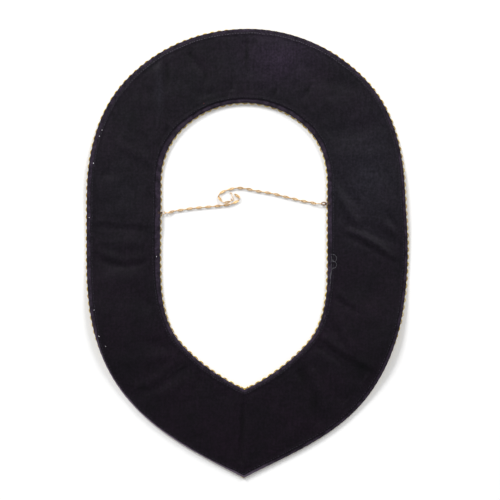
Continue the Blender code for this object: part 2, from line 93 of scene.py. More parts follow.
# Stitches along the lining, and the threads that hold the rings
STITCH_INSET = 0.0015  # from the lining's edge
STITCH_PITCH = 0.0027
STITCH_SHARE = 0.62  # of the pitch that the thread shows
STITCH_WIDTH = 0.0006  # of a stitch pressed flat
STITCH_SLIP = 0.35  # of the pitch, by which a stitch may start late
STITCH_LENGTHS = (0.35, 1.1)  # of its usual length
STITCH_DRIFT = 0.0003
STITCH_SINK = 0.00016
THREAD = 0.00032  # thickness of sewing thread
FRAY = 0.00026  # and of the loose threads
RING_LOOPS = 5
RING_LOOP_PITCH = 0.00042
RING_LOOP_END = 0.0021  # from the velvet's edge, on its hem

# Bands along the lining's edge: height, middle from the edge, half width
EDGE_BANDS = (
    (-0.00014, 0.0044, 0.0015),        # where the hem below ends
    (0.00016, STITCH_INSET, 0.0011),   # its own turned-in edge
    (-EDGE_THINNING, 0.0, 0.0010),     # where it is pressed thin
)

# Braid
CORD_DIP = 0.0014  # how far the cord runs back under the cloth between two tips
TUCK = 0.0010  # how far the outer braid is drawn in where little of it shows
TUCK_NAPE_MIDDLE = 0.030
TUCK_NAPE_REACH = 0.060
TUCK_NAPE_SHARE = 0.7
TUCK_LOW = -0.070
TUCK_SIDE_SHARE = -0.35  # where more of it shows, on the right side
CORD_STEPS = 14  # in each scallop
CORD_STATION = 0.00045
CORD_FULLNESS = 0.16  # how far the loops swell sideways
CORD_POINT = 2.6  # how narrow the tips are; 1 is round
CORD_STRAND = 0.00052  # one strand of the two that twist into the edge cord
CORD_TWIST = 0.0026  # length of one full turn
PLAIT_AMPLITUDE = 0.0013
PLAIT_STRAND = (0.0026, 0.0006)
PLAIT_LIFT = 0.00028
PLAIT_STATION = 0.0007
PLAIT_PLACE = 0.62  # its middle, from the scallops' valleys to the braid's back edge
BRAID_MIDDLE = 0.00075  # height of the plait's middle over the braid's underside

# Chain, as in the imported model
LINK_WIRE = 0.0007
LINK_WIDTH = 0.0025
THIN_WIRE = 0.00058  # of the links that stand upright
LINK_SWELL = 0.00038  # how much wider the flat links' wire is at their middle
LINK_END_POWER = 0.92  # 1 is an oval end, less is blunter
LINK_SIDE_POWERS = (0.80, 1.8)  # of upright links and of flat ones; more is more pointed
SWELL_POWER = 3
LONG_LINK = 0.0071
SHORT_LINK = 0.0050
END_LINK_WIDTH = 0.0034
LEFT_END_LINK = 0.0052
RIGHT_END_LINK = 0.0078
TAIL_LINK = 0.0050
LINK_BITE = 0.0001
LINK_CLEARANCE = 0.00012
RING_SEAT = 0.0014
RING_FULLER = 0.0009  # how much wider the right ring's wire is on its threads' side
FULLER_POWER = 0.7  # how far round the ring that reaches; 1 is evenly
RING_STATIONS = 32
HOOK_WIRE = 0.0006
HOOK_EYE_RADIUS = 0.0013
HOOK_SHANK = 0.0034
HOOK_CURL_RADIUS = 0.0009
HOOK_HEADING = 97  # degrees from +X towards +Y
HOOK_EYE_SPAN = (40, 328)  # degrees round the eye from where it closes
HOOK_CURL_SPAN = (36, 180)
LINK_ROLL = 9  # degrees by which a flat link may tilt
LINK_STRETCH = (0.8, 1.25)  # between which the links' lengths are fitted to their line
STRETCH_TRIES = 40

# Where the chains run from their rings: x, y over the rings' level, and how far they are raised
LEFT_ROUTE = (
    (-0.0767, -0.0031, 0), (-0.0674, -0.0019, 0), (-0.0578, -0.0003, 0), (-0.0478, 0.0007, 0),
    (-0.0387, 0.0015, 0), (-0.0296, 0.0024, 0), (-0.0244, 0.0029, 0), (-0.0195, 0.0035, 0),
    (-0.0148, 0.0048, 0), (-0.0109, 0.0064, 0), (-0.0080, 0.0083, 0), (-0.0072, 0.0102, 0),
    (-0.0085, 0.0118, 0), (-0.0105, 0.0131, 0), (-0.0125, 0.0144, 0),
)
RIGHT_ROUTE = (
    (0.0671, 0.0057, 0), (0.0566, 0.0074, 0), (0.0475, 0.0097, 0), (0.0379, 0.0119, 0),
    (0.0281, 0.0145, 0), (0.0190, 0.0162, 0), (0.0096, 0.0176, 0), (0.0006, 0.0198, 0),
    (-0.0089, 0.0208, 0), (-0.0141, 0.0202, 0), (-0.0190, 0.0190, 0), (-0.0241, 0.0173, 0),
    (-0.0281, 0.0149, 0), (-0.0294, 0.0119, 0), (-0.0274, 0.0085, 0.0006), (-0.0241, 0.0058, 0.0022),
    (-0.0206, 0.0051, 0.0028), (-0.0175, 0.0066, 0.0018), (-0.0151, 0.0090, 0.0004),
)

# Dark and light bands over creases and puffs in the lining. Each runs from its start through
# its middle to its end, in pixels of the photograph; half_width is in pixels too, and height in
# millimetres. A fold is a ridge, or a valley where its height is negative. A step is high on the
# side of the nape and low on the other. The light comes from beyond the nape, so a fold lies a
# little further from it than the band on its flank.
LIGHT_FROM = (0.0, 1.0)
BAND_SHIFT = 0.6  # in half widths
BAND_REACH = 3  # in half widths, past which a band is left out
BAND_BENDS = 6  # straight runs along a band
BAND_TAPER = 0.08  # of its length, by which a band's ends are cut off where it fades
STEP_SPREAD = 1.6  # how much wider a step reaches than a fold
EDGE_SHARE = 0.25  # of a crease's height that is left at the lining's edge
CREASE_COLUMNS = ("name", "x0", "y0", "x1", "y1", "x2", "y2", "half_width", "height")
FOLDS = (
    ("nape crease", 246, 33, 247, 52, 249, 74, 2.6, -1.4),
    ("nape crease foot", 249, 70, 251, 84, 252, 96, 3.0, -0.5),
    ("nape puff right", 262, 38, 270, 56, 274, 80, 8.0, 1.0),
    ("nape puff far right", 284, 44, 287, 54, 288, 66, 8.0, 0.9),
    ("nape fine ridge", 223, 62, 224, 72, 226, 84, 3.5, 0.5),
    ("nape left crease", 186, 44, 194, 60, 203, 70, 3.4, -1.2),
    ("nape left crease foot", 202, 67, 206, 76, 206, 86, 3.4, -1.0),
    ("far left crease", 167, 59, 167, 73, 168, 90, 2.6, -1.3),
    ("far left ridge", 160, 62, 162, 90, 167, 126, 4.5, 1.9),
    ("left shoulder foot", 168, 108, 170, 118, 174, 128, 3.0, -0.9),
    ("nape inner dip left", 200, 94, 208, 92, 217, 93, 5.0, -0.7),
    ("nape inner dip", 229, 94, 232, 88, 233, 82, 3.5, -0.9),
    ("nape inner dip right", 252, 84, 258, 88, 268, 88, 5.0, -0.5),
    ("inner tick", 278, 88, 276, 92, 273, 98, 2.4, -0.6),
    ("inner tick right", 311, 84, 308, 91, 303, 98, 2.6, -0.5),
    ("right shoulder dip", 309, 64, 315, 70, 320, 80, 8.0, -1.0),
    ("right shoulder outer dip", 332, 76, 342, 82, 352, 84, 7.0, -0.7),
    ("right shoulder puff", 318, 100, 332, 98, 352, 96, 11.0, 1.0),
    ("right shoulder band", 318, 130, 345, 128, 378, 122, 7.0, -1.3),
    ("right side puff", 328, 150, 355, 150, 393, 149, 8.0, 1.0),
    ("right notch", 337, 174, 345, 187, 359, 205, 3.2, -1.9),
    ("right long ridge", 336, 183, 345, 204, 361, 226, 3.8, 2.6),
    ("right ridge foot", 331, 198, 341, 217, 358, 230, 3.4, -0.7),
    ("right low valley", 362, 223, 376, 230, 396, 241, 4.6, -2.0),
    ("right low ridge", 353, 230, 372, 240, 392, 255, 3.8, 2.6),
    ("right low foot", 347, 234, 364, 244, 394, 260, 2.8, -0.7),
    ("outer tick", 386, 172, 390, 184, 396, 195, 3.0, -1.8),
    ("outer tick low", 387, 213, 391, 219, 396, 226, 2.6, -1.3),
    ("outer tick ridge", 381, 219, 388, 226, 398, 233, 3.0, 0.9),
    ("right hip dip", 368, 286, 378, 292, 392, 300, 8.0, -0.7),
    ("right haunch notch", 326, 316, 330, 324, 336, 332, 4.0, -0.9),
    ("right haunch ridge", 337, 306, 344, 330, 355, 350, 5.0, 1.3),
    ("right turn hollow", 352, 364, 362, 370, 376, 372, 8.0, -2.0),
    ("right turn puff", 322, 352, 336, 368, 350, 386, 8.0, 0.3),
    ("right bottom notch", 296, 360, 301, 370, 306, 380, 4.2, -2.2),
    ("right bottom valley", 307, 382, 313, 402, 319, 424, 4.0, -1.8),
    ("right bottom ridge", 315, 372, 320, 392, 324, 412, 4.2, 1.8),
    ("right bottom dip", 338, 392, 346, 398, 354, 402, 5.0, -0.9),
    ("bottom right dip", 300, 437, 306, 433, 312, 428, 5.0, -0.9),
    ("seam left puff", 237, 392, 235, 410, 233, 430, 4.0, 0.7),
    ("point seam", 246, 392, 243, 425, 240, 470, 1.8, -2.2),
    ("seam right puff", 250, 425, 248, 445, 246, 464, 3.5, 0.9),
    ("bottom left dip", 197, 372, 199, 378, 200, 386, 5.0, -0.9),
    ("bottom left hollow", 222, 386, 227, 391, 232, 398, 6.0, -0.5),
    ("bottom outer tick", 188, 441, 192, 438, 197, 434, 4.0, -0.9),
    ("left bottom puff", 148, 392, 170, 386, 190, 372, 7.0, 0.6),
    ("left turn dip", 148, 338, 160, 341, 172, 342, 6.0, -1.0),
    ("left turn puff", 120, 356, 145, 355, 168, 352, 7.0, 0.9),
    ("left outer dip", 101, 322, 105, 330, 108, 338, 5.0, -0.7),
    ("left hip dip", 138, 290, 146, 300, 156, 310, 7.0, -0.9),
    ("left seat puff", 100, 276, 124, 273, 146, 272, 8.0, 0.7),
    ("left middle puff", 96, 240, 122, 239, 150, 240, 6.0, 0.7),
    ("left upper puff", 112, 208, 122, 207, 132, 208, 8.0, 0.9),
    ("left shoulder dip", 97, 170, 106, 171, 118, 169, 6.0, -0.9),
    ("left shoulder notch", 142, 132, 147, 142, 151, 152, 3.5, -0.8),
    ("left shoulder ridge", 120, 142, 134, 149, 152, 159, 5.0, 0.7),
)
STEPS = (
    ("right hip crease", 333, 292, 342, 300, 356, 309, 3.5, 0.7),
    ("right turn crease", 317, 334, 334, 350, 376, 374, 4.5, 1.6),
    ("left bottom arc outer", 112, 358, 120, 378, 132, 388, 4.6, 0.5),
    ("left bottom arc", 128, 389, 150, 387, 182, 364, 4.8, 0.7),
    ("left seat valley outer", 92, 252, 103, 257, 116, 262, 4.2, 0.9),
    ("left seat valley", 112, 261, 130, 263, 152, 257, 4.0, 0.7),
    ("left upper crease", 91, 224, 120, 226, 153, 228, 3.4, 0.6),
)


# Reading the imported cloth

def wall_rings(node, upright=0.2):
    """Rings of upright faces on a node, from the middle outwards.

    Each is its lower places in order, clockwise from the point, as rows of x, y and z.
    """
    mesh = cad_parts[node].data
    spot_of = {}
    index = [spot_of.setdefault(tuple(round(c, 6) for c in v.co), len(spot_of))
             for v in mesh.vertices]
    spots = list(spot_of)
    group = list(range(len(spots)))

    def root(i):
        while group[i] != i:
            group[i] = group[group[i]]
            i = group[i]
        return i

    walls = [[index[i] for i in p.vertices] for p in mesh.polygons if abs(p.normal.z) < upright]
    for wall in walls:
        for i in wall[1:]:
            group[root(i)] = root(wall[0])
    found = {}
    for wall in walls:
        for i in wall:
            x, y, z = spots[i]
            lower = found.setdefault(root(i), {})
            lower[(x, y)] = min(z, lower.get((x, y), z))
    rings = []
    for lower in found.values():
        ring = np.array([(x, y, z) for (x, y), z in lower.items()])
        middle = (ring.min(0) + ring.max(0)) / 2
        angle = np.arctan2(middle[0] - ring[:, 0], middle[1] - ring[:, 1]) % (2 * pi)
        ring = ring[np.argsort(angle)]
        rings.append(np.roll(ring, -int(ring[:, 1].argmin()), axis=0))
    return sorted(rings, key=lambda ring: np.ptp(ring[:, 0]))


def surface_tree(made):
    mesh = made.data
    return BVHTree.FromPolygons([v.co for v in mesh.vertices], [p.vertices for p in mesh.polygons])


def closed_rows(rows):
    return np.concatenate([rows, rows[:1]])


def ways_along(line):
    """The way along a line to each of its places."""
    return np.concatenate([[0], np.cumsum(norm(np.diff(line, axis=0), axis=1))])


def smooth_rows(rows, steps):
    """A Catmull-Rom curve through rows of values, from the first to the last."""
    padded = np.concatenate([2 * rows[:1] - rows[1:2], rows, 2 * rows[-1:] - rows[-2:-1]])
    t = (np.arange(steps) / steps)[:, None]
    made = []
    for p0, p1, p2, p3 in zip(padded, padded[1:], padded[2:], padded[3:]):
        made.append(0.5 * (2 * p1 + t * (p2 - p0) + t ** 2 * (2 * p0 - 5 * p1 + 4 * p2 - p3)
                           + t ** 3 * (3 * p1 - p0 - 3 * p2 + p3)))
    made.append(rows[-1:])
    return np.concatenate(made)


class Cloth:
    """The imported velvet's two edges at fine stations, and how high its underside lies."""

    COLUMNS = (0.0, 0.3, 0.5, 0.7, 1.0)

    def __init__(self):
        rings = wall_rings("velvet_face")
        inner, outer = rings[0], rings[-1]
        tree = surface_tree(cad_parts["velvet_face"])
        curves = []
        for a, b in zip(inner, outer):
            places = [a + share * (b - a) for share in self.COLUMNS[1:-1]]
            hits = [tree.ray_cast(Vector((x, y, -1.0)), Vector((0, 0, 1)))[0] for x, y, _ in places]
            heights = [a[2], *(hit.z for hit in hits), b[2]]
            curves.append(np.polyfit(self.COLUMNS, heights, len(self.COLUMNS) - 1))
        self.inner, self.outer, self.curves = (
            smooth_rows(closed_rows(rows), FINE_STEPS)[:-1]
            for rows in (inner[:, :2], outer[:, :2], np.array(curves)))
        self.lowest = min(inner[:, 2].min(), outer[:, 2].min())
        self.width = norm(self.outer - self.inner, axis=1)
        self.run = (self.outer - self.inner) / self.width[:, None]

    def flat(self, across):
        """The x and y of places given by how far across the band they lie, a row per station."""
        return self.inner[:, None] + across[..., None] * self.run[:, None]

    def lay(self, across, up):
        """Places on the band, up above the velvet's underside."""
        share = across / self.width[:, None]
        low = sum(self.curves[:, k, None] * share ** (4 - k) for k in range(5))
        low = np.maximum(low, self.lowest)
        return np.concatenate([self.flat(across), (low + up)[..., None]], axis=-1)


# Meshes

class Body:
    """Places and faces gathered for one mesh."""

    def __init__(self):
        self.places = []
        self.faces = []
        self.count = 0

    def add_grid(self, grid, closed):
        """Faces over rings of places; where it is closed, the last ring meets the first again."""
        rows, columns = grid.shape[:2]
        i = np.arange(rows if closed else rows - 1)[:, None]
        j = np.arange(columns)[None, :]
        below = (i + 1) % rows
        beside = (j + 1) % columns
        quads = np.stack([i * columns + j, i * columns + beside,
                          below * columns + beside, below * columns + j], axis=-1)
        self.faces += (quads.reshape(-1, 4) + self.count).tolist()
        self.places += grid.reshape(-1, 3).tolist()
        first = self.count
        self.count += rows * columns
        return first

    def add_tube(self, rings, closed):
        """A tube through rings of places, with its ends filled where it isn't closed."""
        first = self.add_grid(rings, closed)
        if not closed:
            rows, columns = rings.shape[:2]
            self.faces.append([first + k for k in range(columns)])
            self.faces.append([first + (rows - 1) * columns + k for k in reversed(range(columns))])

    def mesh(self, name, smooth_angle=60):
        mesh = bpy.data.meshes.new(name)
        mesh.from_pydata(self.places, [], self.faces)
        bm = bmesh.new()
        bm.from_mesh(mesh)
        bmesh.ops.recalc_face_normals(bm, faces=bm.faces)
        bm.to_mesh(mesh)
        bm.free()
        mesh.shade_smooth()
        mesh.set_sharp_from_angle(angle=radians(smooth_angle))
        return mesh


def unit(rows):
    return rows / np.maximum(norm(rows, axis=-1, keepdims=True), 1e-12)


def side_and_top(path, closed, up=(0.0, 0.0, 1.0)):
    """The directions across a path and out of its top, at each of its places."""
    if closed:
        along = np.roll(path, -1, 0) - np.roll(path, 1, 0)
    else:
        along = np.gradient(path, axis=0)
    out = unit(np.cross(along, np.broadcast_to(up, path.shape)))
    return out, unit(np.cross(out, along))


def sweep(path, width, height, sides, closed, up=(0.0, 0.0, 1.0)):
    """Rings of an oval section along a path; width lies across up and height along it."""
    out, top = side_and_top(path, closed, up)
    angle = 2 * pi * np.arange(sides) / sides
    return (path[:, None] + width / 2 * np.cos(angle)[None, :, None] * out[:, None]
            + height / 2 * np.sin(angle)[None, :, None] * top[:, None])


def add_object(name, data):
    made = bpy.data.objects.new(name, data)
    bpy.context.scene.collection.objects.link(made)
    return made


def piece(name, body, finish, slot, *nodes):
    """One object from a body: it rides on the collar and stands for the nodes."""
    mesh = body.mesh(name)
    mesh.materials.append(finish)
    made = add_object(name, mesh)
    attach(made, "root")
    if nodes:
        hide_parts(*nodes)
    return made


# Relief of the lining

def from_photo(x, y):
    return (x - ORIGIN_X) * PIXEL, (ORIGIN_Y - y) * PIXEL


def crease_heights(x, y):
    """The sum of all creases at arrays of places."""
    total = np.zeros(x.shape)
    for values in FOLDS + STEPS:
        row = dict(zip(CREASE_COLUMNS, values))
        start, middle, end = (np.array(from_photo(row["x%d" % k], row["y%d" % k])) for k in range(3))
        normal = unit(np.array((start[1] - end[1], end[0] - start[0])))
        facing = normal @ np.array(LIGHT_FROM)
        half_width = row["half_width"] * PIXEL
        if values in FOLDS:
            shift = BAND_SHIFT * half_width * facing * normal
            start, middle, end = start - shift, middle - shift, end - shift
        handle = 2 * middle - (start + end) / 2
        shares = np.linspace(0, 1, BAND_BENDS + 1)[:, None]
        line = (1 - shares) ** 2 * start + 2 * shares * (1 - shares) * handle + shares ** 2 * end
        reach = BAND_REACH * half_width
        near = ((x > line[:, 0].min() - reach) & (x < line[:, 0].max() + reach)
                & (y > line[:, 1].min() - reach) & (y < line[:, 1].max() + reach))
        px = x[near]
        py = y[near]
        away = np.full(px.shape, 1e9)
        side = np.zeros(px.shape)
        along = np.zeros(px.shape)
        for k, (a, b) in enumerate(zip(line, line[1:])):
            run = b - a
            share = ((px - a[0]) * run[0] + (py - a[1]) * run[1]) / (run @ run)
            share = np.clip(share, 0, 1)
            gap = np.hypot(px - a[0] - share * run[0], py - a[1] - share * run[1])
            beside = np.sign(facing) * ((px - a[0]) * normal[0] + (py - a[1]) * normal[1])
            closer = gap < away
            side = np.where(closer, beside, side)
            away = np.where(closer, gap, away)
            along = np.where(closer, (k + share) / BAND_BENDS, along)
        taper = np.sin(pi * (BAND_TAPER + (1 - 2 * BAND_TAPER) * along)) ** 0.5
        shares = away / half_width
        profile = np.exp(-shares ** 2)
        if values in STEPS:
            profile = STEP_SPREAD * shares * np.sign(side) * np.exp(-shares ** 2 / STEP_SPREAD)
        total[near] += row["height"] / 1000 * taper * profile
    return total


def noise_at(x, y, height, scale_x, scale_y, seed):
    """Smooth noise, about as high as height either way, at arrays of places."""
    flat = [noise.noise(Vector((a / scale_x, b / scale_y, seed)))
            for a, b in zip(x.ravel(), y.ravel())]
    return height * np.array(flat).reshape(x.shape)


def ramp_between(value, start, end):
    """0 where a value is at its start or before it, 1 at its end or past it."""
    return np.clip((value - start) / (end - start), 0, 1)


def eased(value, start, end):
    """The same, eased at both ends."""
    share = ramp_between(value, start, end)
    return share ** 2 * (3 - 2 * share)


def lining_relief(x, y, from_edge):
    """How far the lining stands off its even level; from_edge is the way to its nearest edge."""
    wrinkle = sum(noise_at(x, y, *row) for row in WRINKLES)
    inside = EDGE_SHARE + (1 - EDGE_SHARE) * eased(from_edge, 0.003, 0.011)
    relief = (crease_heights(x, y) + wrinkle) * inside
    for height, middle, half_width in EDGE_BANDS:
        relief = relief + height * np.exp(-((from_edge - middle) / half_width) ** 2)
    return relief + noise_at(x, y, *PUCKER) * np.exp(-(from_edge / PUCKER_REACH) ** 2)


class Lining:
    """Where the lining's edges are, and the height of its upper side anywhere on the band."""

    def __init__(self, cloth):
        self.cloth = cloth
        x, y = cloth.inner.T
        down = ramp_between(y, 0.0, -0.10)
        left = eased(x, -0.050, -0.080) * (1 - down)
        self.start = LINING_INSET_INNER + (LINING_INSET_POINT - LINING_INSET_INNER) * down
        self.start += LINING_EXTRA_LEFT * left + noise_at(x, y, *INSET_DRIFT_INNER)
        x, y = cloth.outer.T
        low = eased(y, -0.060, -0.110) * eased(x, 0.010, -0.040)
        side = eased(x, -0.100, -0.130) * (1 - low)
        self.end = cloth.width - LINING_INSET_OUTER + LINING_CLOSER_LOW * low
        self.end += noise_at(x, y, *INSET_DRIFT_OUTER) - LINING_EXTRA_SIDE * side
        self.level = 2 * FACE_THICKNESS + SHEET_GAP + LINING_THICKNESS
        self.floor = FACE_THICKNESS + SHEET_GAP + LINING_THICKNESS

    def over_hem(self, across):
        return np.minimum(across, self.cloth.width[:, None] - across) < HEM_WIDTH + HEM_CLEARANCE

    def top(self, across):
        """Heights of the upper side over the velvet's underside."""
        place = self.cloth.flat(across)
        from_edge = np.minimum(across - self.start[:, None], self.end[:, None] - across)
        lowest = np.where(self.over_hem(across), self.level - EDGE_THINNING, self.floor)
        relief = lining_relief(place[..., 0], place[..., 1], np.maximum(from_edge, 0.0))
        return np.maximum(self.level + relief, lowest)


# Cloth pieces

def scallop_wave(edge, braid):
    """A wave along an edge's fine stations, 1 over each of the braid's tips and -1 between two."""
    tips = braid_rings(braid)[0][0::2]
    near = [int(norm(edge - tip[:2], axis=1).argmin()) for tip in tips]
    order = np.argsort(near)
    stations = np.array(near)[order]
    phase = np.interp(np.arange(len(edge)), stations, np.arange(len(tips))[order])
    return np.cos(2 * pi * phase)


def sheet_body(cloth, across, up):
    """A closed sheet round the band, from columns of places across it and of heights."""
    body = Body()
    body.add_grid(cloth.lay(np.concatenate(across, 1), np.concatenate(up, 1)), True)
    return body


def make_velvet(cloth, finish, outer_finish):
    """The velvet with its pile side down, turned up round both edges into a hem."""
    w = cloth.width[:, None]
    r = FACE_THICKNESS
    across = []
    up = []

    def column(distance, height):
        across.append(np.broadcast_to(distance, w.shape))
        up.append(np.broadcast_to(height, w.shape))

    def edge_columns(edge, braid):
        """From under the fold over it to the hem's end: ways from the edge, and heights."""
        reach = FOLD_REACH + EDGE_WAVE * scallop_wave(edge, braid)[:, None]
        angles = np.radians(np.linspace(-90, 90, FOLD_BENDS))
        fold = [(FOLD_REACH - reach * cos(angle), r + r * sin(angle)) for angle in angles]
        hem = [(FOLD_REACH + share * (HEM_WIDTH - FOLD_REACH), 2 * r) for share in HEM_COLUMNS]
        return fold + hem + [(HEM_WIDTH, 1.8 * r), (HEM_WIDTH, 1.1 * r)]

    for share in FRONT_COLUMNS:
        column(share * w, 0.0)
    for distance, height in edge_columns(cloth.outer, "braid_outer"):
        column(w - distance, height)
    outer_columns = range(len(FRONT_COLUMNS), len(across))
    for share in BACK_COLUMNS:
        column(share * w, r)
    for distance, height in reversed(edge_columns(cloth.inner, "braid_inner")):
        column(distance, height)
    made = piece("velvet_cloth", sheet_body(cloth, across, up), finish, "velvet", "velvet_face")
    made.data.materials.append(outer_finish)
    columns = len(across)
    which = [int(face % columns in outer_columns) for face in range(len(made.data.polygons))]
    made.data.polygons.foreach_set("material_index", which)
    return made


def make_lining(cloth, lining, finish):
    """The lining, its edges turned under and pressed thin."""
    r = (LINING_THICKNESS - EDGE_THINNING) / 2
    start = lining.start[:, None]
    end = lining.end[:, None]
    shares = np.linspace(0, 1, LINING_COLUMNS)
    shares = shares - LINING_DRAWN_OUT * np.sin(2 * pi * shares)
    top_across = start + r + (end - start - 2 * r) * shares
    top_up = lining.top(top_across)
    bends = np.radians(np.linspace(60, -60, 4))
    under = np.arange(LINING_COLUMNS - 1, -1, -3)
    across = [top_across]
    up = [top_up]
    for angle in bends:
        across.append(end - r + r * cos(angle))
        up.append(top_up[:, -1:] - r + r * sin(angle))
    under_up = top_up[:, under] - LINING_THICKNESS
    under_across = top_across[:, under]
    velvet = np.where(lining.over_hem(under_across), 2 * FACE_THICKNESS, FACE_THICKNESS)
    across.append(under_across)
    up.append(np.maximum(under_up, velvet + SHEET_GAP))
    for angle in bends[::-1]:
        across.append(start + r - r * cos(angle))
        up.append(top_up[:, :1] - r + r * sin(angle))
    made = piece("lining_cloth", sheet_body(cloth, across, up), finish, "lining", "back_lining")
    return made


def make_stitches(cloth, lining, finish):
    """A row of short thread runs along both edges of the lining."""
    body = Body()
    for side, inset in ((lining.start, STITCH_INSET), (lining.end, -STITCH_INSET)):
        across = (side + inset)[:, None]
        line = closed_rows(cloth.lay(across, lining.top(across) + 0.35 * THREAD)[:, 0])
        reach = ways_along(line)
        count = round(reach[-1] / STITCH_PITCH)
        for k in range(count):
            near = (k + STITCH_SLIP * random.random()) * reach[-1] / count
            share = STITCH_SHARE * random.uniform(*STITCH_LENGTHS)
            run = np.linspace(near, near + share * STITCH_PITCH, 5)
            path = np.stack([np.interp(run, reach, line[:, axis]) for axis in range(3)], -1)
            path[[0, -1], 2] -= 0.5 * THREAD
            path[:, :2] += STITCH_DRIFT * (random.random() - 0.5)
            path[:, 2] += STITCH_SINK * (random.random() - 1.0)
            body.add_tube(sweep(path, STITCH_WIDTH, THREAD, 6, False), False)
    return piece("lining_stitches", body, finish, "lining")


# Braid

def braid_rings(node):
    """A braid's scalloped ring, its tips and valleys in turn, and the back edge behind each."""
    rings = wall_rings(node)
    scalloped, wall = sorted(rings, key=len, reverse=True)
    wall = smooth_rows(closed_rows(wall), FINE_STEPS)
    away = norm(scalloped[:, None, :2] - wall[None, :, :2], axis=2)
    return scalloped, wall[away.argmin(axis=1)]


def along_line(line, step):
    """Places at even steps along a closed line, with the way to each."""
    line = closed_rows(line)
    reach = ways_along(line)
    count = round(reach[-1] / step)
    ways = np.linspace(0, reach[-1], count, endpoint=False)
    return np.stack([np.interp(ways, reach, line[:, k]) for k in range(3)], -1), ways, reach[-1]


def braid_tuck(tips):
    """How far each tip of the outer braid is drawn in at the nape and towards the point.

    It is let out a little on the right side.
    """
    x, y, _ = tips.T
    nape = ramp_between(np.abs(x - TUCK_NAPE_MIDDLE), TUCK_NAPE_REACH, TUCK_NAPE_REACH - 0.02) * (y > 0)
    low = ramp_between(y, TUCK_LOW, TUCK_LOW - 0.04)
    right = ramp_between(x, 0.11, 0.14) * (y > TUCK_LOW)
    return np.maximum(TUCK_NAPE_SHARE * nape, low) * TUCK + TUCK_SIDE_SHARE * right * TUCK


def make_braid(name, node, finish):
    """Gold braid: a flat three-strand plait with a twisted cord looped along its scalloped edge."""
    scalloped, back = braid_rings(node)
    tips = scalloped[0::2]
    valleys = scalloped[1::2]
    back = back[1::2]
    tuck = braid_tuck(tips) if node == "braid_outer" else np.zeros(len(tips))
    body = Body()
    cord = []
    for k, tip in enumerate(tips):
        chord = (valleys[k] - valleys[k - 1]) / 2
        middle = (valleys[k] + valleys[k - 1]) / 2
        rise = tip - middle
        out = rise / norm(rise)
        rise = rise - tuck[k] * out
        dip = CORD_DIP * out
        for i in range(CORD_STEPS):
            angle = pi * i / CORD_STEPS
            swing = -cos(angle) * (1 + CORD_FULLNESS * sin(angle) ** 2)
            cord.append(middle - dip + swing * chord + sin(angle) ** CORD_POINT * (rise + dip))
    cord = np.array(cord)
    inward = unit((back - valleys)[:, :2])
    cord[:, :2] += CORD_STRAND * np.repeat(np.roll(inward, 1, 0), CORD_STEPS, axis=0)
    cord[:, 2] += BRAID_MIDDLE
    line, ways, length = along_line(cord, CORD_STATION)
    turns = round(length / CORD_TWIST)
    out, top = side_and_top(line, True)
    for strand in range(2):
        turn = (2 * pi * turns * ways / length + pi * strand)[:, None]
        path = line + CORD_STRAND / 2 * (np.cos(turn) * out + np.sin(turn) * top)
        body.add_tube(sweep(path, CORD_STRAND, CORD_STRAND, 5, True), True)
    guide = (1 - PLAIT_PLACE) * valleys + PLAIT_PLACE * back
    guide[:, 2] += BRAID_MIDDLE
    line, ways, length = along_line(guide, PLAIT_STATION)
    out, _ = side_and_top(line, True)
    for strand in range(3):
        turn = (2 * pi * (len(tips) * ways / length + strand / 3))[:, None]
        path = line + PLAIT_AMPLITUDE * np.sin(turn) * out
        path[:, 2] += PLAIT_LIFT * np.sin(2 * turn[:, 0])
        body.add_tube(sweep(path, *PLAIT_STRAND, 6, True), True)
    return piece(name, body, finish, "braid", node)


# Chain

def smooth_line(points, steps=24):
    return smooth_rows(np.array(points, float), steps)


def walk_links(line, holds):
    """Where links of the given inner lengths meet along a line, and how far they reach past it."""
    places = [line[0]]
    k = 0
    last = len(line) - 1
    for hold in holds:
        while k < last and norm(line[k + 1] - places[-1]) < hold:
            k += 1
        if k == last:
            places.append(places[-1] + unit(line[-1] - line[-2]) * hold)
            continue
        a = line[k] - places[-1]
        b = line[k + 1] - line[k]
        half = a @ b / (b @ b)
        rest = (a @ a - hold ** 2) / (b @ b)
        places.append(line[k] + (-half + sqrt(max(0.0, half ** 2 - rest))) * b)
    return places, (places[-1] - line[-1]) @ unit(line[-1] - line[-2])


def inner_hold(length):
    return length - 2 * LINK_WIRE + LINK_BITE


def chain_links(line, end_link, tail_link):
    """The links in order, each its length, width and whether it stands upright."""
    length = ways_along(line)[-1]
    first = [(end_link, END_LINK_WIDTH, True)]
    pair = [(LONG_LINK, LINK_WIDTH, False), (SHORT_LINK, LINK_WIDTH, True)]
    last = [(LONG_LINK, LINK_WIDTH, False)]
    if tail_link:
        last.append((tail_link, END_LINK_WIDTH, True))
    spare = length - sum(inner_hold(link[0]) for link in first + last)
    pairs = max(1, round(spare / sum(inner_hold(link[0]) for link in pair)))
    return first + pair * pairs + last


def link_rings(middle, along, across, length, width, pressed, sides=8, steps=28):
    """A wire link with its ends drawn to blunt points; a pressed one is wider at its middle."""
    end = (length - LINK_WIRE) / 2
    side = (width - LINK_WIRE) / 2
    angle = 2 * pi * np.arange(steps) / steps
    a = end * np.sign(np.cos(angle)) * np.abs(np.cos(angle)) ** LINK_END_POWER
    b = side * np.sign(np.sin(angle)) * np.abs(np.sin(angle)) ** LINK_SIDE_POWERS[pressed]
    fuller = pressed * LINK_SWELL * np.abs(np.sin(angle)) ** SWELL_POWER
    b -= fuller / 2 * np.sign(b)
    path = middle + a[:, None] * along + b[:, None] * across
    wire = LINK_WIRE if pressed else THIN_WIRE
    rings = sweep(path, wire, wire, sides, True, np.cross(along, across))
    out = rings - path[:, None]
    wider = (out @ across)[..., None] * across
    return rings + (fuller / LINK_WIRE)[:, None, None] * wider


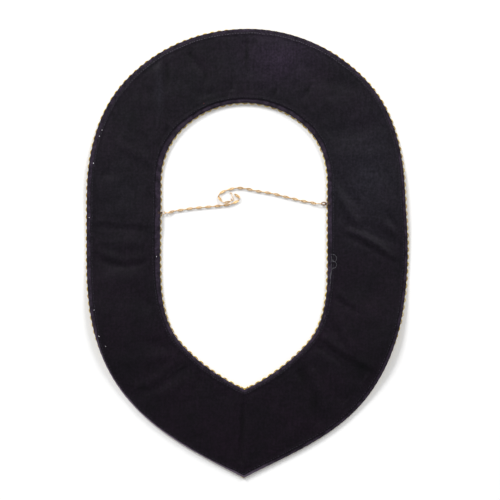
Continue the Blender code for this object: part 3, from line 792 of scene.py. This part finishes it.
def make_chain(name, node, line, end_link, tail_link, finish):
    """A chain of long flat links and short upright ones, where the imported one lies."""
    links = chain_links(line, end_link, tail_link)
    holds = [inner_hold(length) for length, _, _ in links]
    low, high = LINK_STRETCH
    for _ in range(STRETCH_TRIES):
        stretch = (low + high) / 2
        places, over = walk_links(line, [stretch * hold for hold in holds])
        if over > 0:
            high = stretch
        else:
            low = stretch
    body = Body()
    for (_, width, upright), a, b in zip(links, places, places[1:]):
        along = unit(b - a)
        up = unit(np.array((0.0, 0.0, 1.0)) - along[2] * along)
        side = np.cross(up, along)
        roll = radians(random.uniform(-LINK_ROLL, LINK_ROLL))
        across = up if upright else cos(roll) * side + sin(roll) * up
        length = norm(b - a) + 2 * LINK_WIRE - LINK_BITE
        body.add_tube(link_rings((a + b) / 2, along, across, length, width, not upright), True)
    piece(name, body, finish, "chain", node)
    return places


def make_hook(middle, finish):
    """A bent wire with a round eye, a straight shank and an open curl."""
    heading = radians(HOOK_HEADING)
    along = np.array((cos(heading), sin(heading), 0.0))
    side = np.array((-along[1], along[0], 0.0))
    points = []
    for angle in np.radians(np.linspace(*HOOK_EYE_SPAN, 10)):
        points.append(middle + HOOK_EYE_RADIUS * (sin(angle) * side + cos(angle) * along))
    neck = middle + (HOOK_EYE_RADIUS + 2 * HOOK_WIRE) * along
    far = neck + HOOK_SHANK * along - np.array((0.0, 0.0, middle[2] - HOOK_WIRE))
    points += [neck, (neck + far) / 2, far]
    for angle in np.radians(np.linspace(*HOOK_CURL_SPAN, 5)):
        points.append(far + HOOK_CURL_RADIUS * ((1 - cos(angle)) * side + sin(angle) * along))
    body = Body()
    body.add_tube(sweep(smooth_line(points, 6), HOOK_WIRE, HOOK_WIRE, 8, False), False)
    return piece("hook_wire", body, finish, "chain", "chain_hook")


def ring_facts(node):
    """A packed ring's middle, its length, width and wire."""
    low, high = (np.array(corner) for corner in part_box(node))
    return (low + high) / 2, *(high - low)


def make_ring(name, node, finish, side, fuller):
    """A jump ring, its wire pressed to be wider by fuller on the side of its threads."""
    middle, length, width, wire = ring_facts(node)
    angle = 2 * pi * np.arange(RING_STATIONS) / RING_STATIONS
    wider = fuller * ((1 + side * np.cos(angle)) / 2) ** FULLER_POWER
    path = middle + np.stack([(length - wire - wider) / 2 * np.cos(angle),
                              (width - wire - wider) / 2 * np.sin(angle), 0 * angle], -1)
    rings = sweep(path, wire, wire, 10, True)
    out = rings - path[:, None]
    level = out * np.array((1.0, 1.0, 0.0))
    body = Body()
    body.add_tube(rings + (wider / wire)[:, None, None] * level, True)
    return piece(name, body, finish, "ring", node)


def make_ring_threads(cloth, finish):
    """Thread loops from each ring over the velvet's edge."""
    body = Body()
    for node, side, fuller in (("jump_ring_left", -1, 0.0), ("jump_ring_right", 1, RING_FULLER)):
        middle, length, _, wire = ring_facts(node)
        ring_end = middle[0] + side * (length - wire - fuller) / 2
        reach = (wire + fuller) / 2 + 0.7 * THREAD
        rise = wire / 2 + 0.7 * THREAD
        for k in range(RING_LOOPS):
            off = k - RING_LOOPS // 2
            y = middle[1] + off * RING_LOOP_PITCH
            station = int(np.hypot(cloth.inner[:, 0] - ring_end, cloth.inner[:, 1] - y).argmin())
            edge = cloth.inner[station]
            column = np.ones((len(cloth.width), 1))
            top = cloth.lay(RING_LOOP_END * column,
                            (2 * FACE_THICKNESS + THREAD / 2) * column)[station, 0]
            points = [(ring_end, y, middle[2] - rise),
                      (ring_end - 0.8 * side * reach, y, middle[2] - 0.75 * rise),
                      (ring_end - 1.15 * side * reach, y, middle[2]),
                      (ring_end - 0.8 * side * reach, y, middle[2] + 0.85 * rise),
                      (ring_end, y, middle[2] + 1.1 * rise),
                      (edge[0] - side * THREAD, y, top[2] - 0.0007),
                      (edge[0] + side * 0.0006, y, top[2] - 0.0001),
                      (top[0], top[1] - off * 0.0001, top[2]),
                      (top[0] + side * 0.0005, top[1] - off * 0.0002, top[2] - 1.5 * THREAD)]
            body.add_tube(sweep(smooth_line(points, 5), THREAD, THREAD, 6, False), False)
    return piece("ring_threads", body, finish, "velvet")


# Small things on the cloth, at pixels of the photograph: x and y

LOOSE_THREADS = (
    ((331.0, 254.6), (334.0, 254.8), (336.4, 257.2), (336.2, 260.4), (333.6, 261.8), (332.6, 259.6)),
    ((332.0, 261.2), (334.8, 261.8), (336.6, 264.4), (335.6, 267.6), (333.0, 268.6)),
    ((331.4, 256.0), (331.8, 259.0), (331.2, 262.4)),
    ((333.4, 268.0), (331.8, 270.4), (331.4, 274.0), (330.6, 278.0)),
    ((331.2, 272.0), (330.4, 276.0), (330.8, 281.0), (330.0, 286.0)),
    ((331.8, 264.0), (331.2, 267.0), (331.9, 270.0)),
)
LINT = ((103, 131), (100.5, 137), (94.6, 164), (90, 218), (157.2, 257), (95.4, 310), (100.5, 336),
        (107, 346))
RED_FIBRES = ((204.5, 104.3),)
LINT_REACHES = (0.0003, 0.0006)
LINT_SECTION = (0.0006, 0.0004)
LINT_RISE = 0.00028
LINT_BOW = 0.0002


def height_over(trees, x, y):
    """The highest cloth at a place."""
    hits = [tree.ray_cast(Vector((x, y, 1.0)), Vector((0, 0, -1)))[0] for tree in trees]
    return max((hit.z for hit in hits if hit), default=0.0)


def make_loose_threads(trees, finish):
    body = Body()
    for bends in LOOSE_THREADS:
        points = []
        for place in smooth_line(bends, 3):
            x, y = from_photo(*place)
            points.append((x, y, height_over(trees, x, y) + 0.8 * FRAY))
        body.add_tube(sweep(smooth_line(points, 4), FRAY, FRAY, 6, False), False)
    return piece("loose_threads", body, finish, "velvet")


def make_lint(name, places, trees, finish):
    body = Body()
    for place in places:
        x, y = from_photo(*place)
        turn = random.uniform(0, pi)
        reach = random.uniform(*LINT_REACHES)
        points = []
        for share in (-1, -0.3, 0.4, 1):
            bx = x + reach * share * cos(turn)
            by = y + reach * share * sin(turn) + LINT_BOW * share ** 2
            points.append((bx, by, height_over(trees, bx, by) + LINT_RISE))
        body.add_tube(sweep(smooth_line(points, 3), *LINT_SECTION, 6, False), False)
    return piece(name, body, finish, "lining")


# Materials

TONE_STOPS = (0.35, 0.65)  # shares of a noise at which its two tones begin

# Patches of another tone on the lining, each soft-edged: its middle in pixels of the photograph and its
# reach in metres.
# Most are painted light: painted shade along creases, hollows and the seam, a painted highlight on the far
# left ridge and a painted lilac sheen at the nape.
# The first tone is a painted lilac sheen on the lining at the nape.
PAINTED_LILAC_SHEEN = (0.0345, 0.0225, 0.0430)
# A paler grey; at the far left it is a painted highlight on the lit flank of a ridge.
PALE_GREY = (0.0210, 0.0190, 0.0275)
FAINT_GREY = (0.0145, 0.0125, 0.0180)
# The last three tones are painted shade along creases, notches, hollows and the seam.
SHADE = (0.0056, 0.0048, 0.0070)
DEEP_SHADE = (0.0028, 0.0017, 0.0034)
HOLLOW_SHADE = (0.0016, 0.0021, 0.0032)
PATCH_LEVEL = 0.004  # about the lining's height
PATCH_COLUMNS = ("name", "x", "y", "reach_x", "reach_y", "tone")
PATCHES = (
    ("painted nape sheen", 280, 58, 0.078, 0.056, PAINTED_LILAC_SHEEN),
    ("right side", 366, 176, 0.090, 0.130, PALE_GREY),
    ("left side", 122, 190, 0.060, 0.090, FAINT_GREY),
    ("nape crease shade", 247, 55, 0.0050, 0.0300, SHADE),
    ("nape left shade", 191, 54, 0.0060, 0.0150, SHADE),
    ("nape left shade foot", 206, 77, 0.0050, 0.0150, SHADE),
    ("far left shade", 168, 75, 0.0046, 0.0220, SHADE),
    # a painted highlight on the lit flank of the far left ridge
    ("far left light", 160, 92, 0.0090, 0.0420, PALE_GREY),
    ("inner tick shade", 275, 93, 0.0040, 0.0075, SHADE),
    ("right inner tick shade", 308, 91, 0.0046, 0.0085, SHADE),
    # painted shade in the hollows and notches below, and along the seam
    ("right turn hollow", 362, 366, 0.0320, 0.0260, HOLLOW_SHADE),
    ("right bottom notch", 303, 376, 0.0110, 0.0220, DEEP_SHADE),
    ("right bottom valley", 315, 402, 0.0100, 0.0220, DEEP_SHADE),
    ("seam shade", 243, 426, 0.0055, 0.0460, DEEP_SHADE),
)
# The upper and lower tones of the lining: the lower one is darker, painted shade for the light that falls
# off away from the nape, and a little more purple.
LINING_UPPER = ((0.0112, 0.0102, 0.0142), (0.0150, 0.0106, 0.0176))
LINING_LOWER = ((0.0066, 0.0038, 0.0080), (0.0092, 0.0040, 0.0100))
VELVET_TONES = ((0.010, 0.006, 0.013), (0.040, 0.027, 0.048))
# A painted highlight on the velvet's lit rim at the lower left.
VELVET_PAINTED_HIGHLIGHT = (0.15, 0.115, 0.168)
BRAID_TONES = ((0.78, 0.50, 0.05), (0.96, 0.76, 0.13))
CHAIN_TONES = ((0.56, 0.32, 0.11), (0.88, 0.60, 0.27))
RING_TONES = ((0.16, 0.075, 0.025), (0.36, 0.19, 0.07))
THREAD_TONES = {
    "stitch_thread": ((0.010, 0.009, 0.013), (0.034, 0.030, 0.042)),
    "white_thread": ((0.09, 0.09, 0.10), (0.20, 0.20, 0.22)),
    "lint": ((0.50, 0.48, 0.52), (0.80, 0.77, 0.82)),
    "red_fibre": ((0.12, 0.03, 0.03), (0.20, 0.05, 0.05)),
    "ring_thread": ((0.05, 0.03, 0.03), (0.16, 0.10, 0.07)),
}
# A painted highlight for the stitches along the outer edge at the nape, where the lining's edge catches
# the light.
STITCH_PAINTED_HIGHLIGHT = (0.075, 0.064, 0.086)


def new_material(name, **settings):
    """A material, its tree and its shader; a setting names an input, with _ for each space."""
    made = bpy.data.materials.new(name)
    made.use_nodes = True
    shader = made.node_tree.nodes["Principled BSDF"]
    for key, value in settings.items():
        shader.inputs[key.replace("_", " ")].default_value = value
    return made, made.node_tree, shader


def add_node(tree, kind, **settings):
    """A node; a setting names an input, with _ for each space, or else a property."""
    node = tree.nodes.new(kind)
    for key, value in settings.items():
        if key.replace("_", " ") in node.inputs:
            node.inputs[key.replace("_", " ")].default_value = value
        else:
            setattr(node, key, value)
    return node


def object_places(tree, **settings):
    """Object coordinates, mapped with the settings."""
    coords = add_node(tree, "ShaderNodeTexCoord")
    mapping = add_node(tree, "ShaderNodeMapping", **settings)
    tree.links.new(coords.outputs["Object"], mapping.inputs["Vector"])
    return mapping.outputs["Vector"]


def noise_value(tree, size, scale=(1.0, 1.0, 1.0), detail=3.0):
    texture = add_node(tree, "ShaderNodeTexNoise", Scale=size, Detail=detail)
    tree.links.new(object_places(tree, Scale=scale), texture.inputs["Vector"])
    return texture.outputs["Fac"]


def noise_tone(tree, size, low, high, scale=(1.0, 1.0, 1.0), detail=4.0):
    """A colour that drifts between two tones."""
    ramp = add_node(tree, "ShaderNodeValToRGB")
    for k, colour in enumerate((low, high)):
        ramp.color_ramp.elements[k].position = TONE_STOPS[k]
        ramp.color_ramp.elements[k].color = (*colour, 1.0)
    tree.links.new(noise_value(tree, size, scale, detail), ramp.inputs["Fac"])
    return ramp.outputs["Color"]


def mix_colours(tree, share, a, b, blend="MIX"):
    """Colour a mixed with b; the share is a number or a socket."""
    mix = add_node(tree, "ShaderNodeMix", data_type="RGBA", blend_type=blend)
    if isinstance(share, float):
        mix.inputs["Factor"].default_value = share
    else:
        tree.links.new(share, mix.inputs["Factor"])
    tree.links.new(a, mix.inputs[6])
    tree.links.new(b, mix.inputs[7])
    return mix.outputs[2]


def weave(tree, size, angle):
    """A fine thread pattern running one way."""
    wave = add_node(tree, "ShaderNodeTexWave", Scale=size, Distortion=0.6, Detail=1.0, Detail_Scale=2.0)
    turned = object_places(tree, Rotation=(0.0, 0.0, radians(angle)))
    tree.links.new(turned, wave.inputs["Vector"])
    return wave.outputs["Fac"]


def plain_colour(tree, colour):
    node = add_node(tree, "ShaderNodeRGB")
    node.outputs[0].default_value = (*colour, 1.0)
    return node.outputs[0]


def patch_share(tree, middle, reach):
    """A soft round patch on the cloth: 1 in its middle, 0 at its reach."""
    places = object_places(tree, vector_type="TEXTURE", Location=(*middle, PATCH_LEVEL),
                           Scale=(*reach, 1.0))
    gradient = add_node(tree, "ShaderNodeTexGradient", gradient_type="QUADRATIC_SPHERE")
    tree.links.new(places, gradient.inputs["Vector"])
    return gradient.outputs["Fac"]


def side_share(tree, heading, low, high, first=0.0, last=1.0):
    """A value from first to last, as a place goes from low to high along a level heading."""
    coords = add_node(tree, "ShaderNodeTexCoord")
    dot = add_node(tree, "ShaderNodeVectorMath", operation="DOT_PRODUCT")
    tree.links.new(coords.outputs["Object"], dot.inputs[0])
    dot.inputs[1].default_value = (*heading, 0.0)
    share = add_node(tree, "ShaderNodeMapRange", From_Min=low, From_Max=high, To_Min=first, To_Max=last)
    tree.links.new(dot.outputs["Value"], share.inputs["Value"])
    return share.outputs["Result"]


def dress(tree, shader, tone, bumps):
    """The shader's colour, and its bumps in turn, each a height and its depth in metres."""
    tree.links.new(tone, shader.inputs["Base Color"])
    normal = None
    for height, depth in bumps:
        bump = add_node(tree, "ShaderNodeBump", Strength=1.0, Distance=depth)
        tree.links.new(height, bump.inputs["Height"])
        if normal:
            tree.links.new(normal, bump.inputs["Normal"])
        normal = bump.outputs["Normal"]
    tree.links.new(normal, shader.inputs["Normal"])


def lining_finish():
    """Near-black plain weave with a faint purple cast and a soft gloss."""
    made, tree, shader = new_material("lining_weave", Roughness=0.52, Specular_IOR_Level=0.10,
                                      Sheen_Weight=0.04, Sheen_Roughness=0.45,
                                      Sheen_Tint=(0.80, 0.72, 0.90, 1.0))
    # Darker towards the point: painted shade.
    low = side_share(tree, (0.0, -1.0), -0.22, 0.20)
    tone = mix_colours(tree, low, noise_tone(tree, 30, *LINING_UPPER), noise_tone(tree, 30, *LINING_LOWER))
    # Patches over the tone: painted shade, a painted highlight, a painted sheen and paler greys.
    for values in PATCHES:
        row = dict(zip(PATCH_COLUMNS, values))
        share = patch_share(tree, from_photo(row["x"], row["y"]), (row["reach_x"], row["reach_y"]))
        tone = mix_colours(tree, share, tone, plain_colour(tree, row["tone"]))
    warp = noise_tone(tree, 560, (0.60, 0.60, 0.62), (1.0, 0.98, 1.0), (1, 0.10, 1))
    weft = noise_tone(tree, 480, (0.68, 0.68, 0.70), (1.0, 0.98, 1.0), (0.14, 1, 1))
    fleck = noise_tone(tree, 480, (0.45, 0.45, 0.47), (1.0, 1.0, 1.0), detail=2.0)
    for share, layer in ((0.7, warp), (0.6, weft), (0.9, fleck)):
        tone = mix_colours(tree, share, tone, layer, "MULTIPLY")
    dress(tree, shader, tone, [
        (noise_value(tree, 300, (1.0, 0.25, 1.0)), 0.00018),
        (weave(tree, 600, 0), 0.00003),
        (weave(tree, 600, 90), 0.00003),
    ])
    return made


def velvet_finish(name, sheen, brushed=None):
    """Dark purple pile, lilac where it turns away.

    Where it is brushed up, towards the lower left, its sheen rises to brushed, and its tone is painted
    lighter there: a painted highlight on the lit rim of its fold.
    """
    made, tree, shader = new_material(name, Roughness=0.85, Specular_IOR_Level=0.2, Sheen_Weight=sheen,
                                      Sheen_Roughness=0.35, Sheen_Tint=(0.86, 0.74, 0.95, 1.0))
    tuft = noise_tone(tree, 700, (0.35, 0.35, 0.38), (1.0, 1.0, 1.0), detail=3.0)
    tone = mix_colours(tree, 0.8, noise_tone(tree, 170, *VELVET_TONES), tuft, "MULTIPLY")
    if brushed:
        risen = side_share(tree, (-0.8, -0.6), 0.02, 0.13, sheen, brushed)
        tree.links.new(risen, shader.inputs["Sheen Weight"])
        # Lighter towards the lower left: a painted highlight on the lit rim.
        low = side_share(tree, (-0.6, -0.8), 0.150, 0.205)
        tone = mix_colours(tree, low, tone, plain_colour(tree, VELVET_PAINTED_HIGHLIGHT))
    dress(tree, shader, tone, [(noise_value(tree, 1600), 0.00022), (noise_value(tree, 250), 0.00030)])
    return made


def braid_finish():
    """Gold metal thread wound round a core."""
    made, tree, shader = new_material("braid_metal_thread", Metallic=0.30, Roughness=0.48)
    worn = noise_tone(tree, 45, (0.78, 0.70, 0.55), (1.0, 1.0, 1.0))
    tone = mix_colours(tree, 0.7, noise_tone(tree, 340, *BRAID_TONES), worn, "MULTIPLY")
    dress(tree, shader, tone, [(weave(tree, 1500, 35), 0.00006), (noise_value(tree, 1800), 0.00008)])
    return made


def chain_finish():
    """Warm brass, with wear that dulls it here and there."""
    made, tree, shader = new_material("chain_worn_brass", Metallic=0.9, Roughness=0.36)
    tone = noise_tone(tree, 420, *CHAIN_TONES)
    dress(tree, shader, tone, [(noise_value(tree, 1500), 0.00004)])
    return made


def ring_finish():
    """Brown, tarnished brass."""
    made, tree, shader = new_material("ring_tarnish", Metallic=0.6, Roughness=0.45)
    tone = noise_tone(tree, 500, *RING_TONES)
    dress(tree, shader, tone, [(noise_value(tree, 1400), 0.00005)])
    return made


def thread_finish(name, painted_highlight=None):
    """Twisted thread; its tone goes over to a lighter one on the outer edge at the nape, a painted
    highlight along the lit edge of the lining.
    """
    made, tree, shader = new_material(name, Roughness=0.7, Specular_IOR_Level=0.15)
    tone = noise_tone(tree, 900, *THREAD_TONES[name])
    # Lighter at the nape's outer edge: a painted highlight.
    if painted_highlight:
        share = side_share(tree, (0.0, 1.0), 0.165, 0.205)
        tone = mix_colours(tree, share, tone, plain_colour(tree, painted_highlight))
    dress(tree, shader, tone, [(weave(tree, 1400, 40), 0.00005)])
    return made


# Camera, floor and light

LENS = 85
SENSOR_WIDTH = 36
CAMERA_SHIFT = (0.00037, -0.00023)
SEEN_HEIGHT = 0.0008  # height at which a pixel of the photograph measures PIXEL
FLOOR_HALF = 4.0


def make_camera():
    """Straight above the collar, with the photograph's frame."""
    data = bpy.data.cameras.new("camera")
    data.lens = LENS
    data.sensor_width = SENSOR_WIDTH
    x, y = from_photo(PHOTO_SIZE / 2, PHOTO_SIZE / 2)
    distance = PHOTO_SIZE * PIXEL * LENS / SENSOR_WIDTH
    camera = add_object("camera", data)
    camera.location = (x + CAMERA_SHIFT[0], y + CAMERA_SHIFT[1], SEEN_HEIGHT + distance)
    bpy.context.scene.camera = camera


def make_floor():
    corners = [(x * FLOOR_HALF, y * FLOOR_HALF, 0.0) for x, y in ((-1, -1), (1, -1), (1, 1), (-1, 1))]
    mesh = bpy.data.meshes.new("floor")
    mesh.from_pydata(corners, [], [(0, 1, 2, 3)])
    made, _, _ = new_material("floor_white", Base_Color=(0.93, 0.93, 0.93, 1.0), Roughness=0.8,
                              Specular_IOR_Level=0.1)
    mesh.materials.append(made)
    add_object("floor", mesh)


def area_light(name, place, size, power):
    data = bpy.data.lights.new(name, "AREA")
    data.shape = "DISK"
    data.size = size
    data.energy = power
    light = add_object(name, data)
    light.location = place
    light.rotation_mode = "QUATERNION"
    light.rotation_quaternion = (-Vector(place)).to_track_quat("-Z", "Y")


def make_lights():
    """Even light from all round, and two lower lamps beyond the nape."""
    world = bpy.data.worlds.new("studio")
    world.use_nodes = True
    background = world.node_tree.nodes["Background"]
    background.inputs["Color"].default_value = (1.0, 1.0, 1.0, 1.0)
    background.inputs["Strength"].default_value = 0.50
    bpy.context.scene.world = world
    area_light("key_left", (-3.1, 4.3, 3.5), 2.0, 305)
    area_light("key_right", (3.1, 4.3, 3.5), 2.0, 176)


def make_keeper(brass):
    rest = LINK_WIDTH / 2 + LINK_CLEARANCE
    tail_height = END_LINK_WIDTH / 2 + LINK_CLEARANCE
    into_ring = RING_SEAT - (LINK_WIRE - LINK_BITE) / 2
    left = ("left", -1, LEFT_END_LINK, None, LEFT_ROUTE)
    right = ("right", 1, RIGHT_END_LINK, TAIL_LINK, RIGHT_ROUTE)
    level = (ring_facts("jump_ring_left")[0][1] + ring_facts("jump_ring_right")[0][1]) / 2
    for name, side, end_link, tail_link, route in (left, right):
        middle, length, _, wire = ring_facts("jump_ring_" + name)
        start = middle - side * np.array(((length - wire) / 2 - into_ring, 0, 0))
        points = [start, start - side * np.array((end_link, 0, 0))]
        points += [np.array((x, level + y, rest + raised)) for x, y, raised in route]
        if tail_link:
            points[-1][2] = tail_height
        places = make_chain("chain_%s_links" % name, "keeper_chain_" + name, smooth_line(points),
                            end_link, tail_link, brass)
    ahead = unit(places[-1] - places[-2])
    eye = places[-1] - ahead * (into_ring - HOOK_EYE_RADIUS)
    make_hook(np.array((eye[0], eye[1], tail_height)), brass)


def main():
    make_camera()
    make_floor()
    make_lights()
    cloth = Cloth()
    lining = Lining(cloth)
    gold = braid_finish()
    brass = chain_finish()
    make_braid("braid_gold_outer", "braid_outer", gold)
    make_braid("braid_gold_inner", "braid_inner", gold)
    velvet = make_velvet(cloth, velvet_finish("velvet_pile", 0.85),
                         velvet_finish("velvet_pile_brushed_painted_highlight", 0.04, 0.95))
    sheet = make_lining(cloth, lining, lining_finish())
    make_stitches(cloth, lining, thread_finish("stitch_thread", STITCH_PAINTED_HIGHLIGHT))
    trees = (surface_tree(velvet), surface_tree(sheet))
    make_loose_threads(trees, thread_finish("white_thread"))
    make_lint("lint_specks", LINT, trees, thread_finish("lint"))
    make_lint("red_fibre", RED_FIBRES, trees, thread_finish("red_fibre"))
    make_ring("ring_left_wire", "jump_ring_left", brass, -1, 0.0)
    make_ring("ring_right_wire", "jump_ring_right", ring_finish(), 1, RING_FULLER)
    make_ring_threads(cloth, thread_finish("ring_thread"))
    make_keeper(brass)


main()
